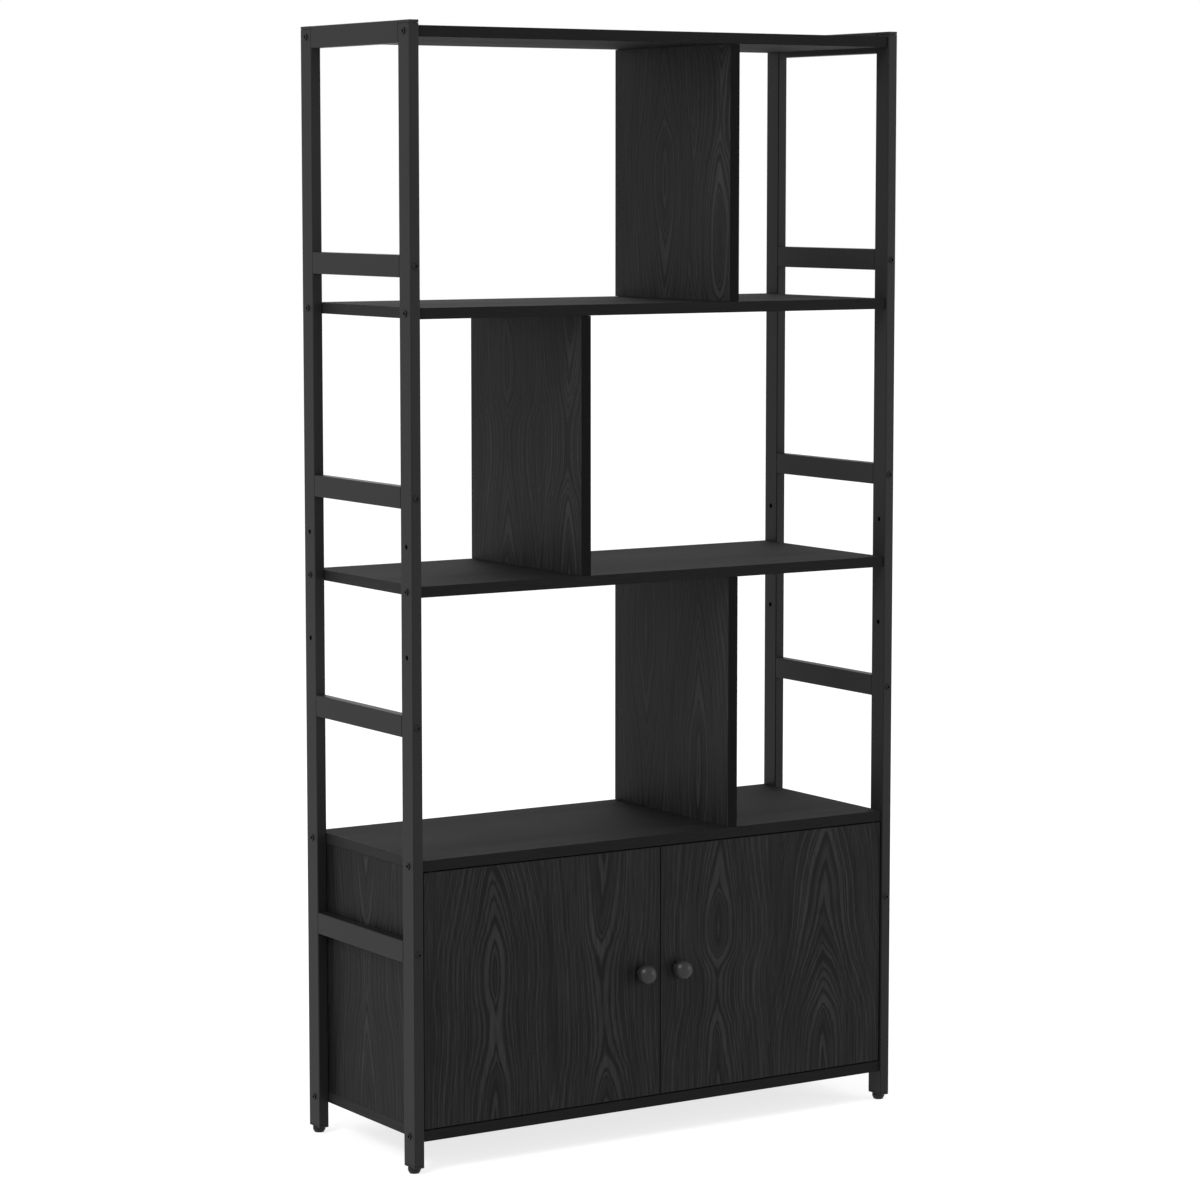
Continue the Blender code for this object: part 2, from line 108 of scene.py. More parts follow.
# Oak figure: a ring's width, the arches' shape, how soon the figure turns steep, and the gloss
RING_WIDTH = 0.0054
ARCH_POINT = 1.3
HEART_REACH = 0.006
OAK_SPECULAR = 0.09


# Meshes


def box_bmesh(low, high):
    low, high = Vector(low), Vector(high)
    bm = bmesh.new()
    matrix = Matrix.Translation((low + high) / 2) @ Matrix.Diagonal((*(high - low), 1.0))
    bmesh.ops.create_cube(bm, size=1.0, matrix=matrix)
    return bm


def bevel(bm, edges, width, segments):
    bmesh.ops.bevel(bm, geom=list(edges), offset=width, segments=segments, profile=0.5, affect="EDGES")


def rounded_box(low, high, width, segments=3):
    bm = box_bmesh(low, high)
    bevel(bm, bm.edges, width, segments)
    return bm


def long_edges(bm, along):
    found = []
    for edge in bm.edges:
        run = edge.verts[0].co - edge.verts[1].co
        if abs(run[along]) > 0.99 * run.length:
            found.append(edge)
    return found


def bar_bmesh(low, high, along, radius, segments=6, ends=0.0, end_segments=1):
    """A bar whose long edges are rounded, and whose two ends are eased."""
    bm = box_bmesh(low, high)
    bevel(bm, long_edges(bm, along), radius, segments)
    if ends:
        rims = [edge for edge in bm.edges if any(abs(face.normal[along]) > 0.9 for face in edge.link_faces)]
        bevel(bm, rims, ends, end_segments)
    return bm


def lathe_bmesh(profile, steps):
    """(radius, height) points from the top of the axis down the outer side, turned round Z and closed."""
    bm = bmesh.new()
    rings = []
    for radius, height in profile:
        if radius < 1e-9:
            rings.append([bm.verts.new((0, 0, height))])
            continue
        ring = []
        for k in range(steps):
            turn = 2 * math.pi * k / steps
            ring.append(bm.verts.new((radius * math.cos(turn), radius * math.sin(turn), height)))
        rings.append(ring)
    pairs = list(zip(rings, rings[1:]))
    if len(rings[0]) > 1:
        pairs.append((rings[-1], rings[0]))
    for upper, lower in pairs:
        for k in range(steps):
            j = (k + 1) % steps
            if len(upper) == 1:
                bm.faces.new((upper[0], lower[k], lower[j]))
            elif len(lower) == 1:
                bm.faces.new((upper[k], lower[0], upper[j]))
            else:
                bm.faces.new((upper[k], lower[k], lower[j], upper[j]))
    bmesh.ops.recalc_face_normals(bm, faces=bm.faces)
    return bm


def prism_bmesh(width_across_flats, low, high, sides=6):
    radius = width_across_flats / 2 / math.cos(math.pi / sides)
    return lathe_bmesh([(0, high), (radius, high), (radius, low), (0, low)], sides)


def arc(centre, radii, start, stop, steps):
    """Points on a quarter or other part of an ellipse, in degrees."""
    points = []
    for k in range(steps + 1):
        turn = math.radians(start + (stop - start) * k / steps)
        points.append((centre[0] + radii[0] * math.cos(turn), centre[1] + radii[1] * math.sin(turn)))
    return points


def merged(shapes):
    """Several closed bmeshes in one, which is left unjoined."""
    whole = bmesh.new()
    for shape in shapes:
        part = bpy.data.meshes.new("part")
        shape.to_mesh(part)
        shape.free()
        whole.from_mesh(part)
        bpy.data.meshes.remove(part)
    return whole


def moved(bm, matrix):
    bmesh.ops.transform(bm, matrix=matrix, verts=bm.verts)
    return bm


def aimed(location, outward):
    turn = Vector(outward).to_track_quat("Z", "Y").to_matrix().to_4x4()
    return Matrix.Translation(location) @ turn


def mesh_of(bm, name):
    mesh = bpy.data.meshes.new(name)
    bm.to_mesh(mesh)
    bm.free()
    return mesh


def cut(bm, *cutters):
    """The shape with closed cutters taken away from it, as a new mesh."""
    body = bpy.data.objects.new("body", mesh_of(bm, "body"))
    bpy.context.scene.collection.objects.link(body)
    made = [body]
    for cutter in cutters:
        tool = bpy.data.objects.new("tool", mesh_of(cutter, "tool"))
        bpy.context.scene.collection.objects.link(tool)
        made.append(tool)
        modifier = body.modifiers.new("cut", "BOOLEAN")
        modifier.operation = "DIFFERENCE"
        modifier.solver = "EXACT"
        modifier.use_self = True
        modifier.object = tool
    bpy.context.view_layer.update()
    mesh = bpy.data.meshes.new_from_object(body.evaluated_get(bpy.context.evaluated_depsgraph_get()))
    for thing in made:
        bpy.data.objects.remove(thing, do_unlink=True)
    return mesh


def piece(name, shape, material, body="frame", replaces=(), matrix=None, sharp=35):
    """A named piece of the object, from a bmesh or a mesh, riding on a body."""
    mesh = shape if isinstance(shape, bpy.types.Mesh) else mesh_of(shape, name)
    if not mesh.materials:
        mesh.materials.append(material)
        mesh.shade_smooth()
        mesh.set_sharp_from_angle(angle=math.radians(sharp))
    thing = bpy.data.objects.new(name, mesh)
    bpy.context.scene.collection.objects.link(thing)
    if matrix:
        thing.matrix_world = matrix
    weighted = thing.modifiers.new("normals", "WEIGHTED_NORMAL")
    weighted.keep_sharp = True
    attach(thing, body)
    if replaces:
        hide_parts(*replaces)
    return thing


# Materials


class Shader:
    """A material whose node tree is written as expressions. An input is a socket, a number or a tuple."""

    def __init__(self, name, roughness, specular, metallic=0.0):
        self.material = bpy.data.materials.new(name)
        self.material.use_nodes = True
        self.tree = self.material.node_tree
        self.surface = self.tree.nodes["Principled BSDF"]
        self.surface.inputs["Roughness"].default_value = roughness
        self.surface.inputs["Specular IOR Level"].default_value = specular
        self.surface.inputs["Metallic"].default_value = metallic
        self.coordinates = self.tree.nodes.new("ShaderNodeTexCoord").outputs["Object"]

    def put(self, socket, value):
        if isinstance(value, bpy.types.NodeSocket):
            self.tree.links.new(value, socket)
        else:
            socket.default_value = value

    def node(self, kind, **settings):
        node = self.tree.nodes.new("ShaderNode" + kind)
        for key, value in settings.items():
            setattr(node, key, value)
        return node

    def math(self, operation, *values):
        node = self.node("Math", operation=operation)
        for socket, value in zip(node.inputs, values):
            self.put(socket, value)
        return node.outputs[0]

    def add(self, a, b):
        return self.math("ADD", a, b)

    def sub(self, a, b):
        return self.math("SUBTRACT", a, b)

    def mul(self, a, b):
        return self.math("MULTIPLY", a, b)

    def axes(self):
        node = self.node("SeparateXYZ")
        self.put(node.inputs[0], self.coordinates)
        return node.outputs

    def scaled(self, scale):
        """Object coordinates divided by a size along each axis."""
        node = self.node("Mapping", vector_type="POINT")
        self.put(node.inputs["Vector"], self.coordinates)
        node.inputs["Scale"].default_value = [1 / s for s in scale]
        return node.outputs[0]

    def drawn(self, size, along, length):
        """Object coordinates for a pattern of one size that is drawn out to a length along one axis."""
        scale = [size, size, size]
        scale[along] = length
        return self.scaled(scale)

    def noise(self, vector, detail=2.0, roughness=0.5, distortion=0.0):
        node = self.node("TexNoise", noise_dimensions="3D")
        self.put(node.inputs["Vector"], vector)
        node.inputs["Scale"].default_value = 1.0
        node.inputs["Detail"].default_value = detail
        node.inputs["Roughness"].default_value = roughness
        node.inputs["Distortion"].default_value = distortion
        return node.outputs["Fac"]

    def noise_along(self, value, scale):
        node = self.node("TexNoise", noise_dimensions="1D")
        self.put(node.inputs["W"], value)
        node.inputs["Scale"].default_value = scale
        node.inputs["Detail"].default_value = 1.0
        return node.outputs["Fac"]

    def ramp(self, value, low, high, start=0.0, stop=1.0, smooth=True):
        node = self.node("MapRange", interpolation_type="SMOOTHSTEP" if smooth else "LINEAR")
        for socket, number in zip(node.inputs, (value, low, high, start, stop)):
            self.put(socket, number)
        return node.outputs[0]

    def grey(self, value):
        node = self.node("CombineColor")
        for socket in node.inputs:
            self.put(socket, value)
        return node.outputs[0]

    def colour(self, value):
        self.put(self.surface.inputs["Base Color"], self.grey(value))

    def rough(self, value):
        self.put(self.surface.inputs["Roughness"], value)

    def bump(self, height, depth):
        """Raise the surface by up to depth metres where height goes from 0 to 1."""
        node = self.node("Bump")
        node.inputs["Strength"].default_value = 1.0
        node.inputs["Distance"].default_value = depth
        self.put(node.inputs["Height"], height)
        self.put(self.surface.inputs["Normal"], node.outputs[0])


def powder_coat(name, tone, roughness, specular):
    """Satin powder coat: orange peel about 1.5 mm across and a fine speckle."""
    s = Shader(name, roughness, specular)
    peel = s.noise(s.scaled((0.0016,) * 3), detail=1.5, roughness=0.45)
    speckle = s.noise(s.scaled((0.0004,) * 3), detail=2.0, roughness=0.6)
    cloud = s.noise(s.scaled((0.11, 0.11, 0.24)), detail=3.0)
    s.colour(s.mul(tone, s.ramp(s.add(s.mul(cloud, 0.6), s.mul(speckle, 0.4)), 0.3, 0.7, 0.8, 1.2)))
    s.rough(s.ramp(s.add(s.mul(cloud, 0.5), s.mul(peel, 0.5)), 0.3, 0.7, roughness - 0.05, roughness + 0.05))
    s.bump(s.add(peel, s.mul(speckle, 0.25)), 0.00003)
    return s.material


def moulded(name, tone, roughness, specular):
    """Moulded plastic with a spark-eroded grain."""
    s = Shader(name, roughness, specular)
    fine = s.noise(s.scaled((0.0005,) * 3), detail=3.0, roughness=0.6)
    cloud = s.noise(s.scaled((0.012,) * 3), detail=2.0)
    s.colour(s.mul(tone, s.ramp(s.add(s.mul(cloud, 0.5), s.mul(fine, 0.5)), 0.3, 0.7, 0.8, 1.2)))
    s.rough(s.ramp(fine, 0.3, 0.7, roughness - 0.06, roughness + 0.06))
    s.bump(fine, 0.00004)
    return s.material


def plated(name, tone, roughness):
    """Black or bright zinc plate, with the faint rings and stains of a barrel-plated screw."""
    s = Shader(name, roughness, 0.5, 1.0)
    stain = s.noise(s.scaled((0.002,) * 3), detail=3.0)
    scratch = s.noise(s.scaled((0.0003, 0.0003, 0.002)), detail=2.0)
    s.colour(s.mul(tone, s.ramp(stain, 0.3, 0.7, 0.75, 1.2)))
    wear = s.add(s.mul(stain, 0.5), s.mul(scratch, 0.5))
    s.rough(s.ramp(wear, 0.35, 0.65, roughness - 0.08, roughness + 0.1))
    s.bump(scratch, 0.00001)
    return s.material


def rolled_steel(name, tone, roughness):
    """Bright steel strip, with the fine lines that rolling leaves along X."""
    s = Shader(name, roughness, 0.5, 1.0)
    lines = s.noise(s.scaled((0.010, 0.0002, 0.00015)), detail=3.0, roughness=0.6)
    cloud = s.noise(s.scaled((0.004,) * 3), detail=2.0)
    s.colour(s.mul(tone, s.ramp(s.add(s.mul(lines, 0.6), s.mul(cloud, 0.4)), 0.3, 0.7, 0.8, 1.1)))
    s.rough(s.ramp(lines, 0.3, 0.7, roughness - 0.08, roughness + 0.12))
    s.bump(lines, 0.00001)
    return s.material


def edging(name, tone, roughness, specular, along):
    """Plastic edging with the faint drawn lines of its embossing."""
    s = Shader(name, roughness, specular)
    lines = s.noise(s.drawn(0.0005, along, 0.03), detail=2.0, roughness=0.6)
    fine = s.noise(s.scaled((0.0005,) * 3), detail=2.0)
    s.colour(s.mul(tone, s.ramp(lines, 0.3, 0.7, 0.7, 1.3)))
    s.rough(s.ramp(fine, 0.3, 0.7, roughness - 0.05, roughness + 0.06))
    s.bump(s.add(lines, s.mul(fine, 0.4)), 0.00004)
    return s.material


def fibreboard(name, tone, roughness, specular):
    """Thin black board, its short fibres just visible."""
    s = Shader(name, roughness, specular)
    fibre = s.noise(s.scaled((0.0012, 0.0012, 0.003)), detail=4.0, roughness=0.65, distortion=0.6)
    cloud = s.noise(s.scaled((0.05,) * 3), detail=3.0)
    s.colour(s.mul(tone, s.ramp(s.add(s.mul(fibre, 0.6), s.mul(cloud, 0.4)), 0.3, 0.7, 0.7, 1.35)))
    s.rough(s.ramp(fibre, 0.3, 0.7, roughness - 0.06, roughness + 0.06))
    s.bump(fibre, 0.00006)
    return s.material


def heart_rings(s, across, along, centre, depths):
    """The distance from the heart of the log over the face of the board, and how steeply the face cuts the
    rings, from 0 over the heart to 1 far to its side. The heart lies at centre across the board, and depths
    gives (place along the board, depth under the face) points. The rings make an arch where it changes."""
    first, last = depths[0][0], depths[-1][0]
    deepest = max(depth for _, depth in depths)
    place = s.ramp(along, first, last, smooth=False)
    curve = s.node("FloatCurve")
    points = curve.mapping.curves[0].points
    spots = [((where - first) / (last - first), depth / deepest) for where, depth in depths]
    points[0].location, points[-1].location = spots[0], spots[-1]
    for spot in spots[1:-1]:
        points.new(*spot)
    curve.mapping.update()
    s.put(curve.inputs["Value"], place)
    depth = s.mul(curve.outputs[0], deepest)
    side = s.math("ABSOLUTE", s.sub(across, centre))
    total = s.add(s.math("POWER", side, ARCH_POINT), s.math("POWER", depth, ARCH_POINT))
    rings = s.math("POWER", total, 1 / ARCH_POINT)
    return rings, s.math("DIVIDE", side, s.add(side, s.add(depth, HEART_REACH)))


def oak(name, along, across, hearts, tone, light, roughness=0.52):
    """Black-stained oak with an open grain. Its rings are lighter than the ground, thin and close where the
    board is cut across them, and broad with dark ground between them over a heart."""
    s = Shader(name, roughness, OAK_SPECULAR)
    places = s.axes()
    drift = s.noise(s.drawn(0.085, along, 0.30), detail=1.0)
    wobble = s.noise(s.drawn(0.016, along, 0.075), detail=4.0, roughness=0.62)
    shifted = s.add(places[across], s.ramp(drift, 0.0, 1.0, -0.016, 0.016, smooth=False))
    rings = slant = None
    for centre, depths in hearts:
        one, cut_at = heart_rings(s, shifted, places[along], centre, depths)
        rings = one if rings is None else s.math("SMOOTH_MIN", rings, one, 0.010)
        slant = cut_at if slant is None else s.math("MINIMUM", slant, cut_at)
    steepness = s.ramp(slant, 0.15, 0.72)
    rings = s.add(rings, s.ramp(wobble, 0.0, 1.0, -0.0028, 0.0028, smooth=False))
    spread = s.noise_along(rings, 70.0)
    count = s.add(s.mul(rings, 1 / RING_WIDTH), s.mul(spread, 3.2))
    year = s.math("FLOOR", count)
    within = s.math("FRACT", count)
    early = s.ramp(steepness, 0.0, 1.0, 0.26, 0.0, smooth=False)
    rise = s.ramp(s.add(within, early), 0.34, 0.56)
    fall = s.ramp(within, 0.62, 0.96, 1.0, 0.0)
    lot = s.node("TexWhiteNoise", noise_dimensions="1D")
    s.put(lot.inputs["W"], year)
    line = s.mul(s.mul(rise, fall), s.ramp(lot.outputs["Value"], 0.0, 1.0, 0.30, 1.0, smooth=False))

    pores = s.noise(s.drawn(0.0010, along, 0.035), detail=3.0, roughness=0.6)
    fine = s.noise(s.drawn(0.00035, along, 0.006), detail=2.0, roughness=0.6)
    bands = s.noise(s.drawn(0.0030, along, 0.14), detail=2.0, roughness=0.6)
    cloud = s.noise(s.drawn(0.03, along, 0.14), detail=2.0)
    streak = s.ramp(pores, 0.34, 0.64)
    broken = s.mul(line, s.ramp(pores, 0.30, 0.58, 0.45, 1.0))
    straight = s.ramp(s.add(s.mul(pores, 0.5), s.mul(bands, 0.5)), 0.38, 0.62, 0.55, 1.5)
    calm = s.mul(s.sub(1.0, steepness), s.ramp(streak, 0.0, 1.0, 0.40, 0.70))
    ground = s.add(s.mul(straight, steepness), calm)
    broken = s.mul(broken, s.ramp(steepness, 0.0, 1.0, 1.25, 0.75, smooth=False))
    ground = s.mul(s.mul(tone, s.ramp(cloud, 0.3, 0.7, 0.85, 1.2)), ground)
    s.colour(s.add(ground, s.mul(broken, light)))
    s.rough(s.ramp(broken, 0.0, 1.0, roughness, roughness + 0.1, smooth=False))
    relief = s.add(s.mul(broken, 0.7), s.add(s.mul(streak, 0.45), s.mul(fine, 0.5)))
    s.bump(relief, 0.00009)
    return s.material


STEEL = powder_coat("frame_powder_coat", 0.0095, 0.46, 0.13)
PLASTIC = moulded("black_moulded_plastic", 0.006, 0.5, 0.2)
ZINC = plated("black_zinc", 0.022, 0.5)
BRIGHT = rolled_steel("bright_steel", 0.55, 0.3)
KNOB = powder_coat("knob_satin", 0.0135, 0.40, 0.28)
BOARD = fibreboard("black_fibreboard", 0.007, 0.6, 0.25)
# The three edgings are one plastic. Their different tones are painted light and shade, set by the way each
# strip faces: lightest on the shelves' side-facing ends, middling on the strips that run across, darkest on
# the upright strips.
EDGING_X = edging("edging_across", 0.0050, 0.60, 0.07, X)
EDGING_Y = edging("edging_deep", 0.0110, 0.60, 0.10, Y)
EDGING_Z = edging("edging_upright", 0.0024, 0.62, 0.05, Z)

# A board's hearts: the place across, then (place along, depth) points
LEFT_DOOR_HEARTS = (
    (-0.277, ((0.05, 0.004), (0.10, 0.010), (0.19, 0.022), (0.26, 0.016), (0.34, 0.030), (0.42, 0.048))),
    (-0.090, ((0.05, 0.006), (0.10, 0.018), (0.16, 0.030), (0.23, 0.030), (0.32, 0.014), (0.42, 0.004))),
)
RIGHT_DOOR_HEARTS = (
    (0.100, ((0.05, 0.006), (0.14, 0.018), (0.21, 0.030), (0.28, 0.010), (0.35, 0.020), (0.42, 0.030))),
    (0.284, ((0.05, 0.003), (0.13, 0.012), (0.18, 0.030), (0.28, 0.058), (0.35, 0.064), (0.42, 0.078))),
)
SIDE_HEARTS = (
    (0.015, ((0.05, 0.008), (0.16, 0.020), (0.25, 0.034), (0.34, 0.018), (0.42, 0.004))),
    (-0.135, ((0.05, 0.050), (0.22, 0.030), (0.42, 0.020))),
)
LEFT_DOOR_OAK = oak("left_door_oak", Z, X, LEFT_DOOR_HEARTS, 0.0057, 0.0124)
RIGHT_DOOR_OAK = oak("right_door_oak", Z, X, RIGHT_DOOR_HEARTS, 0.0057, 0.0124)
SIDE_OAK = oak("cabinet_side_oak", Z, Y, SIDE_HEARTS, 0.0032, 0.0165)

# Each divider's two hearts: the place across, then depths from its foot to its head
DIVIDER_HEARTS = {
    "top_divider": (
        (0.028, (0.034, 0.018, 0.006, 0.030, 0.044)),
        (-0.112, (0.030, 0.012, 0.024, 0.040, 0.020)),
    ),
    "upper_divider": (
        (0.056, (0.005, 0.030, 0.040, 0.018, 0.040)),
        (-0.100, (0.008, 0.024, 0.046, 0.030, 0.012)),
    ),
    "middle_divider": (
        (0.070, (0.044, 0.036, 0.020, 0.008, 0.026)),
        (-0.064, (0.012, 0.006, 0.022, 0.036, 0.050)),
    ),
}


def divider_oak(name, low, high):
    """Oak for a divider that stands from low to high."""
    step = (high - low) / 4
    places = [low + k * step for k in range(5)]
    hearts = [(across, tuple(zip(places, depths))) for across, depths in DIVIDER_HEARTS[name]]
    return oak(f"{name}_oak", Z, Y, hearts, 0.0062, 0.016)


def shelf_oak(name, shift):
    """Oak for a shelf, its figure shifted towards the back."""
    hearts = (
        (-0.080 + shift, ((-0.4, 0.05), (-0.2, 0.02), (0.0, 0.045), (0.2, 0.02), (0.4, 0.06))),
        (0.105 + shift, ((-0.4, 0.02), (-0.15, 0.05), (0.05, 0.02), (0.25, 0.05), (0.4, 0.03))),
    )
    return oak(name, X, Y, hearts, 0.0050, 0.008, roughness=0.74)


# Steel frames


def hole_cutter(centre, along, half):
    """A through hole, eased where it leaves the tube's two faces."""
    reach = half + HOLE_EASE
    wide = HOLE_RADIUS + 2 * HOLE_EASE
    inside = half - HOLE_EASE
    profile = [
        (0, reach),
        (wide, reach),
        (HOLE_RADIUS, inside),
        (HOLE_RADIUS, -inside),
        (wide, -reach),
        (0, -reach),
    ]
    outward = Vector((0, 0, 0))
    outward[along] = 1
    return moved(lathe_bmesh(profile, 32), aimed(centre, outward))


def middle(node):
    low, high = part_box(node)
    return (low + high) / 2


def add_post(side, end):
    """A tube with a hole for every panel, two spare ones, and one from the front for each lower rail."""
    name = f"{side}_{end}_post"
    low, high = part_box(name)
    centre = (low + high) / 2
    size = high - low
    shrink = Vector((TUBE_WALL, TUBE_WALL, -0.01))
    bore = bar_bmesh(low + shrink, high - shrink, Z, TUBE_RADIUS - TUBE_WALL, 4)
    shelf = middle("middle_shelf").z
    heights = [middle(panel).z for panel in PANELS] + [shelf + SPARE_UP, shelf - SPARE_DOWN]
    across = [hole_cutter((centre.x, centre.y, z), X, size.x / 2) for z in heights]
    heights = [middle(f"{side}_side_rail_{number}").z for number in RAILS[1:]]
    through = [hole_cutter((centre.x, centre.y, z), Y, size.y / 2) for z in heights]
    tube = bar_bmesh(low, high, Z, TUBE_RADIUS, 6, 0.0002)
    mesh = cut(tube, bore, merged(across), merged(through))
    piece(f"{name}_tube", mesh, STEEL, replaces=[name])


def add_rail(side, number):
    """A closed tube, its ends eased where they meet the posts."""
    name = f"{side}_side_rail_{number}"
    low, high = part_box(name)
    shape = bar_bmesh(low, high, Y, TUBE_RADIUS, 6, 0.00025)
    piece(f"{name}_tube", shape, STEEL, replaces=[name])


def add_cap(side, end):
    """The rim of a cap, its upper edge rounded over, and its body inside the tube."""
    name = f"{side}_{end}_post_cap"
    low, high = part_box(name)
    rim_low = Vector((low.x, low.y, high.z - CAP_RIM))
    rim = bar_bmesh(rim_low, high, Z, TUBE_RADIUS, 6, 0.0007, 3)
    inset = Vector((PLUG_INSET, PLUG_INSET, 0))
    body_high = Vector((high.x, high.y, high.z - CAP_RIM + 0.001)) - inset
    body = bar_bmesh(low + inset, body_high, Z, 0.0010, 3, 0.0005)
    piece(f"{name}_moulding", merged([rim, body]), PLASTIC, replaces=[name])


def add_insert(side, end):
    """The plug in a post's lower end, bored for the foot's screw."""
    name = f"{side}_{end}_foot_insert"
    low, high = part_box(name)
    rim_high = Vector((high.x, high.y, low.z + INSERT_RIM))
    rim = bar_bmesh(low, rim_high, Z, TUBE_RADIUS, 6, 0.0005, 2)
    inset = Vector((PLUG_INSET, PLUG_INSET, 0))
    body = bar_bmesh(low + inset + Vector((0, 0, 0.001)), high - inset, Z, 0.0010, 3)
    bore = prism_bmesh(2 * HOLE_RADIUS, -0.01, 0.05, 24)
    centre = (low + high) / 2
    moved(bore, Matrix.Translation((centre.x, centre.y, low.z)))
    mesh = cut(merged([rim, body]), bore)
    piece(f"{name}_moulding", mesh, PLASTIC, replaces=[name])


def add_foot(side, end):
    """A levelling foot: a fluted grip, a tapering pad and the screw that goes up into the post."""
    name = f"{side}_{end}_foot"
    low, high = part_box(name)
    centre = (low + high) / 2
    radius = (high.x - low.x) / 2
    top = FOOT_HEIGHT
    profile = [(0, top), (radius - 0.0008, top)]
    profile += arc((radius - 0.0008, top - 0.0008), (0.0008, 0.0008), 75, 0, 4)
    profile += [(radius, top * 0.56)]
    profile += arc((radius - 0.0009, top * 0.52), (0.0009, 0.0007), 0, -50, 3)
    profile += [(0.0071, 0.0008)]
    profile += arc((0.0064, 0.0006), (0.0006, 0.0006), -10, -90, 3)
    profile += [(0, 0)]
    pad = lathe_bmesh(profile, 72)
    for vert in pad.verts:
        reach = math.hypot(vert.co.x, vert.co.y)
        if reach > radius - 0.0006:
            turn = math.atan2(vert.co.y, vert.co.x)
            keep = 1 - FLUTE_DEPTH * (0.5 - 0.5 * math.cos(FLUTES * turn))
            vert.co.x *= keep
            vert.co.y *= keep
    moved(pad, Matrix.Translation((centre.x, centre.y, 0)))
    root = BOLT_RADIUS - THREAD_DEPTH
    screw = [(0, high.z), (BOLT_RADIUS - 0.0007, high.z)]
    height = high.z - 0.0005
    while height > top + THREAD_PITCH:
        screw += [(BOLT_RADIUS, height), (root, height - THREAD_PITCH / 2)]
        height -= THREAD_PITCH
    screw += [(root, top - 0.001), (0, top - 0.001)]
    stem = moved(lathe_bmesh(screw, 24), Matrix.Translation((centre.x, centre.y, 0)))
    piece(f"{name}_pad", pad, PLASTIC, name, [name])
    piece(f"{name}_screw", stem, ZINC, name)


# Bolts


def bolt_mesh(name, head, domed, length):
    """A socket screw standing with its head up on z = 0."""
    if domed:
        crown = arc((0, 0.0003), (HEAD_RADIUS, head - 0.0003), 58, 0, 8)
        profile = [(0, head), (crown[0][0] - 0.0003, head)] + crown + [(HEAD_RADIUS, 0)]
    else:
        profile = [(0, head), (HEAD_RADIUS - 0.0005, head)]
        profile += arc((HEAD_RADIUS - 0.0004, head - 0.0004), (0.0004, 0.0004), 80, 0, 4)
        profile += [(HEAD_RADIUS, 0)]
    profile += [(BOLT_RADIUS, 0), (BOLT_RADIUS, -length), (0, -length)]
    socket = prism_bmesh(SOCKET_WIDTH, head - SOCKET_DEPTH, head + 0.002)
    corner = SOCKET_WIDTH / math.sqrt(3)
    over, under = head + 0.001, head - 0.0002
    mouth = lathe_bmesh([(0, over), (corner + 0.001, over), (corner - 0.0002, under), (0, under)], 32)
    mesh = cut(lathe_bmesh(profile, 40), socket, mouth)
    mesh.name = name
    mesh.materials.append(ZINC)
    mesh.shade_smooth()
    mesh.set_sharp_from_angle(angle=math.radians(35))
    return mesh


def add_bolts():
    """All 36 bolts. Only the middle shelf's and the lowest rails' have a CAD node to replace."""
    shelf_bolt = bolt_mesh("shelf_bolt", SHELF_HEAD, False, BOLT_LENGTH)
    rail_bolt = bolt_mesh("rail_bolt", RAIL_HEAD, True, BOLT_LENGTH)
    for side, sign in SIDES.items():
        for end, outward in ENDS.items():
            low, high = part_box(f"{side}_{end}_post")
            centre = (low + high) / 2
            outer = high.x if sign > 0 else low.x
            face = high.y if outward > 0 else low.y
            for panel in PANELS:
                node = f"{side}_{end}_{panel}_bolt"
                known = [node] if panel == "middle_shelf" else []
                place = aimed((outer + sign * SEAT_GAP, centre.y, middle(panel).z), (sign, 0, 0))
                piece(f"{node}_screw", shelf_bolt, ZINC, "frame", known, place)
            for number in RAILS[1:]:
                node = f"{side}_{end}_rail_{number}_bolt"
                known = [node] if number == RAILS[-1] else []
                z = middle(f"{side}_side_rail_{number}").z
                place = aimed((centre.x, face + outward * SEAT_GAP, z), (0, outward, 0))
                piece(f"{node}_screw", rail_bolt, ZINC, "frame", known, place)


# Boards


# What the edging across each axis is called, on a board that lies flat and on one that stands
LYING_LABELS = ("ends", "faces", "sides")
UPRIGHT_LABELS = ("sides", "faces", "ends")


def add_board(node, oak_material, thin, banded, body="frame"):
    """A faced board with edging let in round the banded axes' two ends; thin is the axis through it."""
    low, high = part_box(node)
    inner_low, inner_high = low.copy(), high.copy()
    for axis in banded:
        inner_low[axis] += EDGING
        inner_high[axis] -= EDGING
    board = rounded_box(inner_low, inner_high, BOARD_EASE, 2)
    piece(f"{node}_board", board, oak_material, body, [node])
    for axis in banded:
        run = ({X, Y, Z} - {thin, axis}).pop()
        strips = []
        for end in (0, 1):
            strip_low, strip_high = low.copy(), high.copy()
            if end:
                strip_low[axis] = high[axis] - EDGING
            else:
                strip_high[axis] = low[axis] + EDGING
            if axis != banded[0] and run in banded:
                strip_low[run] += EDGING
                strip_high[run] -= EDGING
            strips.append(edging_strip(strip_low, strip_high, run, axis, end))
        label = (LYING_LABELS if thin == Z else UPRIGHT_LABELS)[axis]
        material = (EDGING_X, EDGING_Y, EDGING_Z)[run]
        piece(f"{node}_edging_{label}", merged(strips), material, body)


def edging_strip(low, high, run, axis, end):
    """A strip rounded along its two outer edges."""
    bm = box_bmesh(low, high)
    face_at = high[axis] if end else low[axis]
    outer = []
    for edge in long_edges(bm, run):
        if all(abs(vert.co[axis] - face_at) < 1e-7 for vert in edge.verts):
            outer.append(edge)
    bevel(bm, outer, EDGING_ROUND, 3)
    return bm


